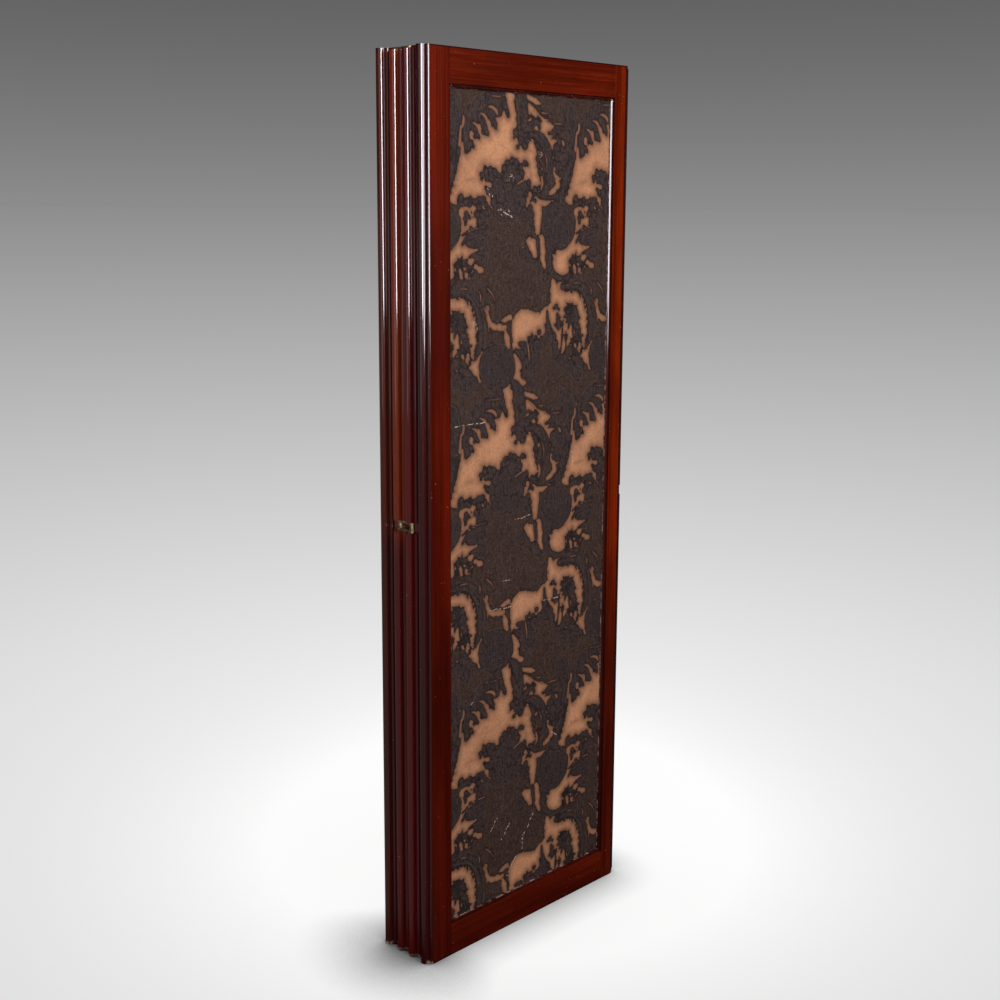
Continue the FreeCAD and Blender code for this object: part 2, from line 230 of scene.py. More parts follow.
def makeWood(name, tone):
    material, tree, source, output = newMaterial(name)
    place = source["Object"]
    turned = (0, math.pi / 2, 0) if tone["grain"] == "x" else (0, 0, 0)
    vector = stretched(tree, place, (1, 1, 1), tone["cut"], turned)
    grain = addNode(tree, "ShaderNodeGroup", {
        "Vector": vector, "Dark": tone["dark"], "Light": tone["light"], "Pores": tone["pores"],
        "Wear": tone["wear"]}, node_tree=grainGroup).outputs
    across, _, height = addNode(tree, "ShaderNodeSeparateXYZ", {0: place}).outputs
    # clouds and zones of darker polish; painted shade darkens the wood towards the floor and at the foot, the
    # moulded sides take their own tone, on the right stile a near-black painted shade, and the tops are
    # darker
    colour = tinted(tree, grain["Color"], polish["cloudTone"], patches(tree, vector, polish["clouds"]),
                    polish["cloudShare"])
    if tone["zones"]:
        # zone = cos(2 pi (height - darkAt) / zoneLength), swayed
        turn = 2 * math.pi / polish["zoneLength"]
        zone = calc(tree, "COSINE", calc(tree, "MULTIPLY_ADD", height, turn, -turn * tone["darkAt"]))
        zone = remap(tree, swayed(tree, zone, vector, polish["zoneSway"]), *polish["zoneEdge"])
        colour = tinted(tree, colour, polish["cloudTone"], zone, tone["zones"])
    # painted shade: the wood darker towards the floor, where the light falls off lower down
    drift = noise(tree, place, *polish["drift"])
    low = remap(tree, calc(tree, "MULTIPLY_ADD", drift, polish["lowDrift"], height), *polish["lowHeights"])
    colour = tinted(tree, colour, polish["lowShadeTone"], low, tone["low"])
    # the moulded sides' tone, on the right stile a near-black painted shade where they turn from the light
    sideways = addNode(tree, "ShaderNodeSeparateXYZ", {0: source["Normal"]}).outputs[0]
    side = remap(tree, calc(tree, "ABSOLUTE", sideways), *polish["sideFacing"])
    for start, edge in ((polish["shoulder"], polish["sideEdge"]), (polish["faceEnd"], -polish["sideEdge"])):
        side = calc(tree, "MAXIMUM", side, remap(tree, across, start, start + edge))
    below = calc(tree, "MULTIPLY_ADD", drift, polish["sideDrift"], height)
    below = remap(tree, below, *polish["sideHeights"])
    sideTone = mixColour(tree, below, tone["side"], tone.get("sideLow", tone["side"]))
    colour = tinted(tree, colour, sideTone, side, tone["sideShare"])
    # darker top ends, and painted shade at the foot where the wood meets the floor
    ends = calc(tree, "MAXIMUM", remap(tree, height, *polish["topHeights"]),
                remap(tree, height, *polish["footHeights"]))
    colour = tinted(tree, colour, polish["endTone"], ends, polish["endShare"])
    # scuffed feet of the mouldings, and small bare chips
    scuffs = calc(tree, "MULTIPLY", remap(tree, height, *polish["scuffHeights"]),
                  patches(tree, place, polish["scuffs"]))
    colour = tinted(tree, colour, polish["scuffTone"], scuffs, side)
    colour = tinted(tree, colour, polish["chipTone"], patches(tree, place, polish["chips"]),
                    patches(tree, place, polish["chipSpread"]))
    if tone.get("arris"):
        # painted highlight on the sight beads' inner arris: near the bead's edge across or in height
        line = 0.0
        for value, edges in ((across, polish["arrisAcross"]), (height, polish["arrisHigh"])):
            for edge in edges:
                near = calc(tree, "COMPARE", value, edge, polish["highlightWidth"])
                line = calc(tree, "MAXIMUM", line, near)
        colour = tinted(tree, colour, polish["paintedHighlight"], line, patches(tree, place, polish["highlightGaps"]))
    # knocks at the upper ends of the mouldings
    knocks = calc(tree, "MULTIPLY", noise(tree, place, *polish["knock"]),
                  remap(tree, height, *polish["knockHeights"]))
    relief = calc(tree, "MULTIPLY_ADD", knocks, polish["knockDepth"], grain["Height"])
    bump = addNode(tree, "ShaderNodeBump", {"Strength": polish["bump"], "Distance": polish["bumpDepth"],
                                            "Height": relief})
    # the flat faces are rubbed duller than the mouldings
    gloss = calc(tree, "MAXIMUM", side, tone["faceGloss"]) if tone["faceGloss"] < 1 else 1.0
    addShader(tree, output, {
        "Base Color": colour, "Roughness": grain["Roughness"], "Normal": bump.outputs[0],
        "Coat Weight": gloss, "Coat Roughness": polish["coatRoughness"],
        "Specular IOR Level": polish["specular"]})
    return material


grainGroup = makeGrainGroup()
woods = {name: makeWood(name, tone) for name, tone in woodTones.items()}
print("wood made:", ", ".join(woods))

metals = {
    # bright and tarnished tone, the tarnish's pattern, the roughness and how much the tarnish adds to it
    "agedBrass": {"bright": (0.55, 0.45, 0.27, 1), "dull": (0.13, 0.105, 0.062, 1), "metallic": 1.0,
                  "tarnish": (160.0, 4.0, 0.65, 0.38, 0.56), "roughness": 0.35, "dullRoughness": 0.25},
    "darkRivet": {"bright": (0.060, 0.030, 0.012, 1), "dull": (0.018, 0.007, 0.004, 1), "metallic": 0.7,
                  "tarnish": (500.0, 3.0, 0.6, 0.40, 0.62), "roughness": 0.5, "dullRoughness": 0.2},
}


def makeMetal(name):
    metal = metals[name]
    material, tree, source, output = newMaterial(name)
    tarnish = patches(tree, source["Object"], metal["tarnish"])
    addShader(tree, output, {
        "Base Color": mixColour(tree, tarnish, metal["bright"], metal["dull"]), "Metallic": metal["metallic"],
        "Roughness": calc(tree, "MULTIPLY_ADD", tarnish, metal["dullRoughness"], metal["roughness"])})
    return material


brass = makeMetal("agedBrass")
rivetMetal = makeMetal("darkRivet")
leftStiles = {"leaf_1": "firstLeftStile", "leaf_2": "secondLeftStile", "leaf_3": "thirdLeftStile",
              "leaf_4": "fourthLeftStile"}


def dress(name):
    if name.startswith("hinge"):
        return brass
    if name.endswith("left_stile"):
        return woods[leftStiles[name[:6]]]
    if name.endswith("right_stile"):
        return woods["rightStileWood"]
    if name.endswith("rail"):
        return woods["railWood"]
    return woods["beadWood"]  # also the boards, and the coverings that the paper replaces


for name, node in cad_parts.items():
    node.data.materials.clear()
    node.data.materials.append(dress(name))
print("wood and brass on", len(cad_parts), "pieces")

# the hinge tongues' rivet heads: low domes on both faces of each hinged stile, all in mm
rivets = {"radius": 1.7, "height": 0.28, "sink": 0.10, "rings": 4, "around": 18, "inward": (13.0, 21.0, 29.0),
          "high": 875.0, "wide": 550.0, "thick": 33.0}
# each leaf's turn in degrees, and its board's middle in the leaf's own frame, in mm
leafTurns = {1: 0.0, 2: -0.32, 3: -0.32, 4: -0.64}
boardMiddle = (279.0, 16.5)
hingedSides = {1: ("right",), 2: ("right", "left"), 3: ("left", "right"), 4: ("right",)}


def makeRivets(leaf):
    low, high = (np.array(corner[:2]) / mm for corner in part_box("leaf_%d_panel_board" % leaf))
    # dome: radius falls as cos and height rises as sin of one angle, closed by a flat foot inside the wood
    around = rivets["around"]
    angle = np.linspace(0, math.pi / 2, rivets["rings"] + 1)[:-1, None]
    about = np.arange(around) * 2 * math.pi / around
    ring = np.stack([np.cos(angle) * np.cos(about), np.sin(angle) + 0 * about, np.cos(angle) * np.sin(about)],
                    -1).reshape(-1, 3)
    foot = ring[:around] * rivets["radius"] - [0, rivets["sink"], 0]
    dome = ring * [rivets["radius"], rivets["height"], rivets["radius"]]
    dome = np.vstack([foot, dome, [[0, rivets["height"], 0]]])
    count = len(dome)
    index = np.arange((rivets["rings"] + 1) * around).reshape(-1, around)
    after = np.roll(index, -1, 1)
    faces = np.stack([index[:-1], index[1:], after[1:], after[:-1]], -1).reshape(-1, 4).tolist()
    faces += [[int(a), count - 1, int(b)] for a, b in zip(index[-1], after[-1])] + [index[0].tolist()]
    points, allFaces = [], []
    for side in hingedSides[leaf]:
        for inward in rivets["inward"]:
            x = inward if side == "left" else rivets["wide"] - inward
            for face, outward in ((0.0, -1.0), (rivets["thick"], 1.0)):
                turned = [f[::-1] for f in faces] if outward > 0 else faces
                allFaces += [[i + len(points) * count for i in f] for f in turned]
                points.append(dome * [1, outward, 1] + [x, face, rivets["high"]])
    points = np.vstack(points) - [*boardMiddle, 0]
    c, s = math.cos(math.radians(leafTurns[leaf])), math.sin(math.radians(leafTurns[leaf]))
    points = points @ np.array([[c, s, 0], [-s, c, 0], [0, 0, 1]]) + [*(low + high) / 2, 0]
    mesh = bpy.data.meshes.new("leaf%dHingeRivets" % leaf)
    mesh.from_pydata((points * mm).tolist(), [], allFaces)
    mesh.polygons.foreach_set("use_smooth", [len(f) < 5 for f in allFaces])
    mesh.materials.append(rivetMetal)
    thing = bpy.data.objects.new(mesh.name, mesh)
    bpy.context.scene.collection.objects.link(thing)
    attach(thing, "leaf_%d" % leaf)


for leaf in leafTurns:
    makeRivets(leaf)
print("rivet heads set")

# the leather paper's repeat, in mm: across from the left edge of the opening, down from its top edge
repeat = {"wide": 318.0, "high": 566.0, "fieldStep": 1.5, "reach": 22.0, "stepsPerSpan": 5, "raggedSeed": 5,
          "raggedLengths": (34, 15, 9, 6.5), "wavesEach": 14, "openingRagged": 5.0, "formRagged": 3.0,
          "lightRagged": 0.8}

# A run is a list of points (across, down, half width), and one point alone is a round blot.
# tan ground showing between the printed forms
openings = [
    # the broad diagonal and the strip rising from it
    [(6, 198, 7), (18, 178, 17), (34, 154, 26), (56, 130, 33), (86, 106, 36), (116, 92, 37), (142, 84, 34),
     (158, 68, 24), (162, 46, 18), (160, 24, 15), (162, 2, 17), (166, -18, 11)],
    [(28, 112, 7), (30, 92, 4), (31, 76, 1.5)],
    [(156, 96, 26), (188, 118, 19), (212, 124, 20), (230, 134, 21), (238, 154, 19), (232, 174, 12)],
    [(212, 102, 10), (230, 102, 15), (244, 112, 13)],
    [(12, 188, 11), (40, 182, 19), (68, 180, 20), (96, 182, 14), (108, 178, 9)],
    [(10, 196, 10), (20, 204, 9)],
    [(50, 150, 24), (78, 150, 22), (104, 146, 20), (140, 138, 20), (180, 138, 20), (206, 152, 18),
     (216, 172, 12)],
    [(96, 122, 24), (128, 116, 25), (160, 118, 22), (194, 128, 16)],
    [(102, 203, 5), (116, 206, 8), (123, 214, 8), (122, 222, 4)], (221, 194, 6),
    [(39, 230, 4), (40, 246, 4), (42, 258, 6)],
    # under the first scroll and along its outer side
    [(214, 206, 10), (232, 210, 16), (242, 226, 14), (243, 246, 10), (243, 264, 6)],
    [(236, 202, 8), (264, 209, 7), (290, 206, 4)],
    [(222, 58, 8), (242, 63, 11), (264, 66, 14), (282, 80, 15), (292, 102, 11), (290, 124, 10),
     (298, 146, 13), (306, 164, 12), (298, 180, 8), (280, 190, 5)],
    [(212, 30, 9), (227, 40, 9), (246, 49, 5), (264, 52, 2.5), (278, 53, 1.5)],
    [(208, 10, 5), (228, 17, 5), (246, 22, 2.5)],
    # beside and below the round shield
    [(222, 280, 9), (230, 290, 12), (236, 306, 8)],
    [(254, 280, 10), (258, 304, 10), (263, 328, 6)],
    [(38, 226, 8), (58, 224, 12), (78, 220, 10), (100, 212, 8)],
    [(74, 240, 9), (60, 250, 9), (47, 266, 10), (34, 284, 13), (20, 298, 13), (4, 308, 11)],
    [(14, 308, 13), (36, 302, 14), (60, 297, 9), (76, 294, 5)],
    [(0, 330, 13), (22, 338, 12), (44, 336, 11), (58, 346, 3)],
    [(62, 316, 7), (80, 330, 6), (90, 332, 5)],
    [(300, 314, 14), (316, 322, 27), (336, 316, 21), (346, 298, 13)],
    # the long arch and the ground behind the little trees
    [(289, 358, 4), (296, 382, 14), (310, 400, 25), (340, 398, 19), (370, 400, 16), (387, 424, 20),
     (391, 458, 19), (394, 496, 17), (400, 524, 9), (404, 541, 3)],
    [(292, 420, 20), (316, 446, 26), (334, 468, 22), (352, 478, 14), (372, 490, 13), (386, 508, 13),
     (395, 523, 9), (403, 537, 4)],
    [(336, 518, 2), (346, 519, 4), (353, 523, 4)],
    [(316, 470, 16), (318, 492, 12)],
    [(322, 364, 6), (308, 372, 9)],
    # the half round opening and its tail
    [(194, 470, 19), (192, 448, 20), (206, 442, 31), (230, 444, 27), (248, 445, 25), (258, 432, 13),
     (269, 414, 5)],
    [(186, 488, 7), (180, 478, 8)],
    [(181, 504, 7), (189, 522, 12), (186, 540, 12), (196, 552, 9), (210, 554, 4)],
    # small gaps under the wing
    [(107, 422, 5), (116, 436, 6), (128, 442, 6), (142, 443, 6), (156, 443, 4)],
    [(144, 430, 2), (156, 428, 5), (169, 424, 4)], [(157, 453, 4), (160, 466, 7), (163, 481, 5)],
    [(104, 485, 2), (112, 481, 6), (119, 476, 3)],
    [(102, 404, 2), (108, 420, 4)],
]

# printed forms standing on that ground
foliage = {
    "plumes": [
        [(62, 42, 9), (52, 62, 9), (49, 88, 9), (53, 109, 10)], (61, 103, 8), (68, 108, 4), (50, 116, 6),
        [(78, 30, 9), (68, 50, 10), (69, 70, 9), (76, 84, 6), (82, 91, 4)], (72, 90, 5),
        [(92, 24, 9), (86, 44, 8), (92, 62, 9), (100, 78, 7), (106, 86, 2.5)], (94, 80, 6),
        [(106, 18, 9), (108, 38, 8), (116, 54, 9), (124, 66, 6), (128, 74, 2)], (118, 66, 5),
        [(120, 8, 9), (128, 26, 8), (135, 40, 6), (137, 50, 3)],
        [(138, -6, 9), (146, 12, 7), (149, 27, 7), (156, 42, 6)], (159, 48, 5),
        [(20, 100, 11), (22, 130, 10), (14, 160, 8), (4, 184, 6)],
    ],
    "knot": [(181, 79, 9), (194, 78, 9), (210, 91, 9), (195, 92, 10), (186, 104, 6),
             (206, 102, 8), (176, 88, 4), (214, 82, 6), (189, 70, 7)],
    "offshoot": [[(208, 74, 6), (222, 64, 8), (236, 56, 7), (244, 62, 6), (245, 71, 3)], (228, 50, 5),
                 (222, 44, 3), [(240, 48, 4), (250, 54, 2)]],
    "scrollCurl": [[(240, 186, 5), (234, 184, 8)], (244, 180, 5), (231, 192, 6), (227, 201, 5),
                   (235, 204, 4), (223, 205, 3),
                   [(240, 191, 4), (254, 198, 4), (273, 200, 4), (292, 195, 5), (308, 185, 6),
                    (318, 172, 8)]],
    "treeCrown": [
        (100, 152, 9), (91, 158, 7), (104, 162, 8), (90, 165, 4), (98, 144, 5), (112, 149, 8), (124, 153, 9),
        (116, 161, 10), (135, 160, 8), (150, 146, 8), (158, 135, 7), (170, 131, 8), (182, 134, 8),
        (193, 142, 8), (148, 158, 10), (164, 146, 12), (182, 150, 13), (197, 155, 9), (206, 134, 8),
        (213, 137, 4), (174, 152, 18), (156, 162, 16), (190, 166, 14), (135, 174, 15), (108, 187, 7),
        (101, 181, 4), (120, 190, 12), (142, 192, 19), [(158, 182, 17), (164, 198, 17)],
        [(182, 190, 18), (190, 198, 16)], (204, 176, 11), (216, 171, 7), (220, 181, 5), (198, 204, 14),
        (122, 207, 10), [(134, 222, 15), (148, 230, 14)], (160, 216, 16), [(172, 232, 12), (184, 222, 15)],
        (212, 194, 5), (222, 218, 8), (228, 230, 7), (226, 245, 8), (231, 256, 5), (220, 266, 7),
        (204, 230, 14), (226, 274, 3),
    ],
    "berries": [
        (36, 200, 8), (30, 206, 4), (48, 209, 5), (60, 202, 6), (58, 213, 6), (71, 208, 6), (78, 214, 4),
        (92, 204, 9), (100, 212, 7), (84, 217, 8), (76, 230, 8), (84, 243, 9), (96, 232, 12), (50, 229, 6),
        (58, 233, 4), (46, 238, 5), (48, 247, 4), (63, 227, 3), [(42, 204, 3), (52, 200, 2), (66, 205, 3)],
    ],
    "shield": [[(297, 248, 44), (309, 257, 43)], (300, 206, 7)],
    "drop": [[(243, 270, 1.5), (245, 286, 6), (247, 304, 5), (246, 316, 2)]],
    "innerLobes": [[(238, 100, 5), (245, 110, 8)], (243, 124, 8), (246, 138, 8), (249, 151, 8),
                   (254, 163, 6), (257, 173, 4)],
    "shieldScroll": [
        [(283, 296, 9), (275, 308, 9), (276, 326, 8), (286, 342, 7), (302, 353, 6), (320, 356, 6),
         (336, 350, 5), (344, 340, 4)],
        (293, 304, 5), (287, 316, 4), (341, 344, 5), (337, 336, 3),
        [(344, 372, 4), (330, 366, 6), (324, 374, 6), (328, 379, 4)],
        [(326, 366, 5), (342, 360, 6), (362, 364, 7), (382, 376, 9), (402, 394, 10)],
    ],
    "wing": [
        [(38, 286, 2), (52, 273, 6), (74, 264, 8), (98, 258, 10)], [(60, 284, 8), (92, 282, 12)],
        [(40, 268, 2), (52, 262, 4)], (62, 256, 5),
        [(58, 308, 2), (74, 303, 5), (96, 306, 8)], [(70, 318, 2), (96, 322, 6)],
        (205, 300, 14), (220, 312, 10), (236, 323, 9), (252, 338, 8), (266, 350, 9),
    ],
    "curl": [
        [(194, 478, 5), (206, 480, 8), (213, 492, 7), (214, 508, 6), (208, 524, 5), (202, 538, 4)],
        [(184, 490, 5), (197, 496, 8), (208, 502, 8)], (204, 514, 5), (199, 530, 3),
    ],
    "secondShield": [[(124, 517, 42), (141, 521, 42)]],
    "hills": [
        (221, 468, 5), (230, 464, 5), (240, 468, 6), (250, 458, 6), (226, 488, 13), (244, 486, 15),
        [(273, 418, 2), (275, 434, 5), (276, 452, 8), (280, 472, 14)], (270, 446, 5), (283, 458, 7),
        (258, 476, 10), (294, 470, 8), (298, 486, 10), (301, 504, 11), (236, 520, 22), (314, 518, 11),
        (334, 523, 8), [(354, 516, 8), (376, 527, 9)], (390, 538, 8), (224, 558, 10), (340, 534, 16),
        (370, 546, 18),
    ],
    "littleBird": [(300, 411, 6), (293, 413, 3), (308, 416, 4), [(304, 426, 4), (306, 440, 6), (308, 452, 7)],
                   (316, 444, 5), (299, 447, 4), (310, 432, 4)],
    "cluster": [(296, 104, 11), (290, 114, 8), (300, 120, 13), (292, 132, 8), (304, 138, 12),
                (298, 148, 6), (308, 152, 9), (306, 94, 10), (318, 100, 14), (318, 124, 14),
                [(272, 77, 3), (286, 73, 6), (302, 66, 10), (314, 60, 10)], [(280, 86, 2), (296, 82, 6)]],
}

# leaf sprays: (run, lobes along its right side, lobe length, lobe width)
sprays = [
    ([(172, -18, 6), (186, -6, 11), (196, 10, 13), (203, 28, 11), (206, 46, 8), (202, 62, 6), (196, 74, 5)],
     7, 9, 4.0),
    ([(204, 84, 6), (228, 82, 6), (248, 88, 9), (264, 102, 12), (273, 124, 12), (276, 146, 10), (273, 168, 8),
      (262, 185, 4), (248, 190, 3)], 10, 9, 3.8),
    ([(330, 30, 18), (342, 62, 14), (346, 92, 11), (342, 118, 11), (333, 144, 11), (322, 166, 11),
      (312, 188, 10), (312, 208, 12)], 9, 9, 4.5),
    ([(0, 372, 8), (24, 370, 9), (48, 374, 9), (66, 388, 8), (78, 408, 8), (85, 432, 8), (88, 458, 8),
      (84, 482, 7), (74, 496, 5)], 15, 8, 3.6),
    ([(322, 190, 6), (330, 178, 4), (334, 166, 3)], 3, 5, 2.5),
]

# little palms: (across, down, leaf length, leaves, first angle in degrees, trunk foot)
palms = [
    (346, 428, 28, 11, 12, (352, 505)), (338, 414, 15, 7, 30, (344, 430)), (366, 474, 23, 7, 40, (360, 515)),
    (36, 318, 17, 7, 25, (44, 350)),
    (62, 332, 16, 6, 0, (64, 356)), (350, 482, 14, 5, 80, (352, 512)), (318, 446, 9, 5, 10, (314, 500)),
    (330, 470, 8, 5, 50, (326, 506)), (380, 498, 9, 5, 20, (366, 520)), (22, 322, 8, 5, 60, (30, 346)),
]

# narrow tan lights inside the dark forms
lights = [
    [(64, 64, 1.0), (73, 67, 2.4), (80, 74, 2.2), (84, 84, 1.2)],
    [(85, 47, 1.0), (96, 51, 2.6), (104, 60, 2.8), (110, 72, 2.0), (113, 82, 1.2)],
    [(103, 35, 1.0), (116, 35, 2.6), (127, 41, 3.2), (131, 48, 1.4)],
    [(42, 54, 1.5), (43, 62, 3.0), (40, 74, 2.0)],
    [(36, 72, 2.0), (34, 92, 3.0), (33, 106, 3.4)], [(100, 578, 0.8), (130, 581, 1.3), (152, 577, 0.8)],
    [(217, 476, 1.4), (221, 495, 2.0), (222, 514, 1.2)], [(250, 38, 1.0), (262, 40, 1.6), (272, 38, 0.8)],
    [(253, 158, 1.6), (256, 172, 2.8), (252, 184, 1.6)], [(184, 174, 1.4), (194, 170, 2.2), (204, 166, 2.0)],
    [(104, 366, 1.0), (118, 378, 1.3), (126, 392, 1.0)], [(262, 112, 0.9), (268, 132, 1.3), (267, 152, 0.9)],
    [(84, 372, 1.0), (88, 384, 1.8), (86, 392, 1.0)], [(102, 400, 1.4), (108, 404, 2.4), (104, 414, 2.0)],
    [(96, 402, 1.0), (106, 424, 1.3), (109, 448, 1.0)], [(32, 366, 0.8), (42, 365, 1.6), (54, 367, 0.8)],
    [(60, 260, 0.8), (84, 254, 1.2), (104, 254, 0.8)], [(286, 58, 1.0), (304, 58, 1.4), (318, 59, 0.6)],
    [(312, 90, 2.0), (316, 97, 3.2)], [(60, 340, 1.0), (67, 334, 2.2)],
]

# how the little palms and the sprays' lobes are drawn: the trunk's half widths and bend and the leaf's tip
# in mm, turns in radians from one leaf or lobe to the next, the rest as shares of their size or of the run
palmShape = {"trunkWidths": (2.6, 2.2, 3.0), "trunkBend": 2, "heart": 0.32, "shortest": 0.85, "uneven": 0.15,
             "unevenTurn": 2.3, "leafRoot": 0.16, "leafMiddle": 0.20, "middleAt": 0.55, "leafTip": 1.5,
             "droop": 0.12}
lobeShape = {"from": 0.06, "to": 0.97, "rootIn": 0.6, "smallest": 0.7, "uneven": 0.3, "unevenTurn": 2.1,
             "middleOut": 0.7, "middleOn": 0.15, "tipOut": 0.45, "tipOn": 0.7, "widths": (1.0, 0.95, 0.35)}


def smoothRun(run):
    # cubic curve through every given point, its slope there half the step from the point before to the next
    run = np.atleast_2d(np.array(run, float))
    if len(run) == 1:
        return np.vstack([run, run])
    ends = np.vstack([2 * run[0] - run[1], run, 2 * run[-1] - run[-2]])
    t = np.arange(repeat["stepsPerSpan"])[:, None] / repeat["stepsPerSpan"]
    spans = []
    for a, b, c, d in zip(ends[:-3], ends[1:-2], ends[2:-1], ends[3:]):
        spans.append(0.5 * (2 * b + (c - a) * t + (2 * a - 5 * b + 4 * c - d) * t ** 2
                            + (3 * b - a - 3 * c + d) * t ** 3))
    return np.vstack(spans + [run[-1:]])


def layRun(field, run, second=None):
    # field keeps the least of (distance to the run's middle line - its half width), wrapped round the repeat,
    # and second the least but one
    step = repeat["fieldStep"]
    run = smoothRun(run)
    pad = run[:, 2].max() + repeat["reach"]
    low, high = ((run[:, :2].min(0) - pad) / step).astype(int), ((run[:, :2].max(0) + pad) / step).astype(int)
    across = np.arange(low[0], high[0] + 1)[:field.shape[1]]
    down = np.arange(low[1], high[1] + 1)[:field.shape[0]]
    x, y = np.meshgrid(across * step, down * step)
    start, way = run[:-1], run[1:] - run[:-1]
    dx, dy = x[..., None] - start[:, 0], y[..., None] - start[:, 1]
    lengthSquared = np.maximum(way[:, 0] ** 2 + way[:, 1] ** 2, tiny)
    t = np.clip((dx * way[:, 0] + dy * way[:, 1]) / lengthSquared, 0, 1)
    gap = np.hypot(dx - t * way[:, 0], dy - t * way[:, 1]) - start[:, 2] - t * way[:, 2]
    gap = gap.min(-1)
    place = np.ix_(down % field.shape[0], across % field.shape[1])
    if second is not None:
        second[place] = np.minimum(second[place], np.maximum(field[place], gap))
    field[place] = np.minimum(field[place], gap)


def palmRuns(across, down, size, leaves, first, foot):
    # a trunk, a round heart, and leaves turned evenly about it, each drooping towards its tip
    look = palmShape
    top, middle, bottom = look["trunkWidths"]
    bend = (across + foot[0]) / 2 + look["trunkBend"], (down + foot[1]) / 2
    runs = [[(across, down, top), (*bend, middle), (*foot, bottom)], (across, down, size * look["heart"])]
    for k in range(leaves):
        angle = math.radians(first + 360.0 * k / leaves)
        c, s = math.cos(angle), math.sin(angle)
        reach = size * (look["shortest"] + look["uneven"] * math.cos(look["unevenTurn"] * k + first))
        half = look["middleAt"] * reach
        runs.append([(across, down, size * look["leafRoot"]),
                     (across + half * c, down + half * s, size * look["leafMiddle"]),
                     (across + reach * c, down + reach * s + look["droop"] * size, look["leafTip"])])
    return runs


def lobeRuns(run, count, length, width):
    # each lobe leaves the spray's edge outwards and bends towards its tip
    look = lobeShape
    line = smoothRun(run)
    along = np.linspace(look["from"], look["to"], count) * (len(line) - 1)
    at = np.stack([np.interp(along, np.arange(len(line)), line[:, k]) for k in range(3)], -1)
    way = np.gradient(line[:, :2], axis=0)
    way = np.stack([np.interp(along, np.arange(len(line)), way[:, k]) for k in range(2)], -1)
    way /= np.hypot(way[:, 0], way[:, 1])[:, None] + tiny
    out = np.stack([-way[:, 1], way[:, 0]], -1)
    root = at[:, :2] + out * at[:, 2:] * look["rootIn"]
    size = look["smallest"] + look["uneven"] * np.sin(look["unevenTurn"] * np.arange(count))
    size = length * size[:, None]
    middle = root + out * size * look["middleOut"] + way * size * look["middleOn"]
    tip = middle + out * size * look["tipOut"] + way * size * look["tipOn"]
    return [[(*point, width * share) for point, share in zip(lobe, look["widths"])]
            for lobe in zip(root, middle, tip)]


def waves(shape):
    # soft noise that joins up at the edges: sums of turned cosine waves of a few lengths
    rng = np.random.default_rng(repeat["raggedSeed"])
    rows, columns = shape
    y, x = np.mgrid[0:rows, 0:columns] * 2 * math.pi / np.array([rows, columns])[:, None, None]
    total = np.zeros(shape)
    for length in repeat["raggedLengths"]:
        for _ in range(repeat["wavesEach"]):
            angle = rng.uniform(0, 2 * math.pi)
            kx = round(repeat["wide"] / length * math.cos(angle))
            ky = round(repeat["high"] / length * math.sin(angle))
            total += np.cos(kx * x + ky * y + rng.uniform(0, 2 * math.pi)) * math.sqrt(length)
    return total / (np.abs(total).max() + tiny)


def drawRepeat():
    # edge: below 0 on the print and above 0 on the tan ground, growing with the distance in mm
    shape = round(repeat["high"] / repeat["fieldStep"]), round(repeat["wide"] / repeat["fieldStep"])
    ground, form, second, light = (np.full(shape, repeat["reach"]) for _ in range(4))
    for run in openings:
        layRun(ground, run)
    runs = [run for group in foliage.values() for run in group]
    runs += [run for palm in palms for run in palmRuns(*palm)]
    runs += [run for spray in sprays for run in [spray[0]] + lobeRuns(*spray)]
    for run in runs:
        layRun(form, run, second)
    for run in lights:
        layRun(light, run)
    ragged = waves(shape)
    printed = np.minimum(-(ground + repeat["openingRagged"] * ragged), form + repeat["formRagged"] * ragged)
    edge = np.maximum(printed, -(light + repeat["lightRagged"] * ragged))
    # seam: 0 on a form's outline and where two forms meet, growing away from both
    seam = np.where(form < 0, np.minimum(-form, (second - form) / 2), form)
    return {"edge": edge, "form": form, "seam": seam}


# the paper on each side of each leaf: its mesh in cells and mm, and its look

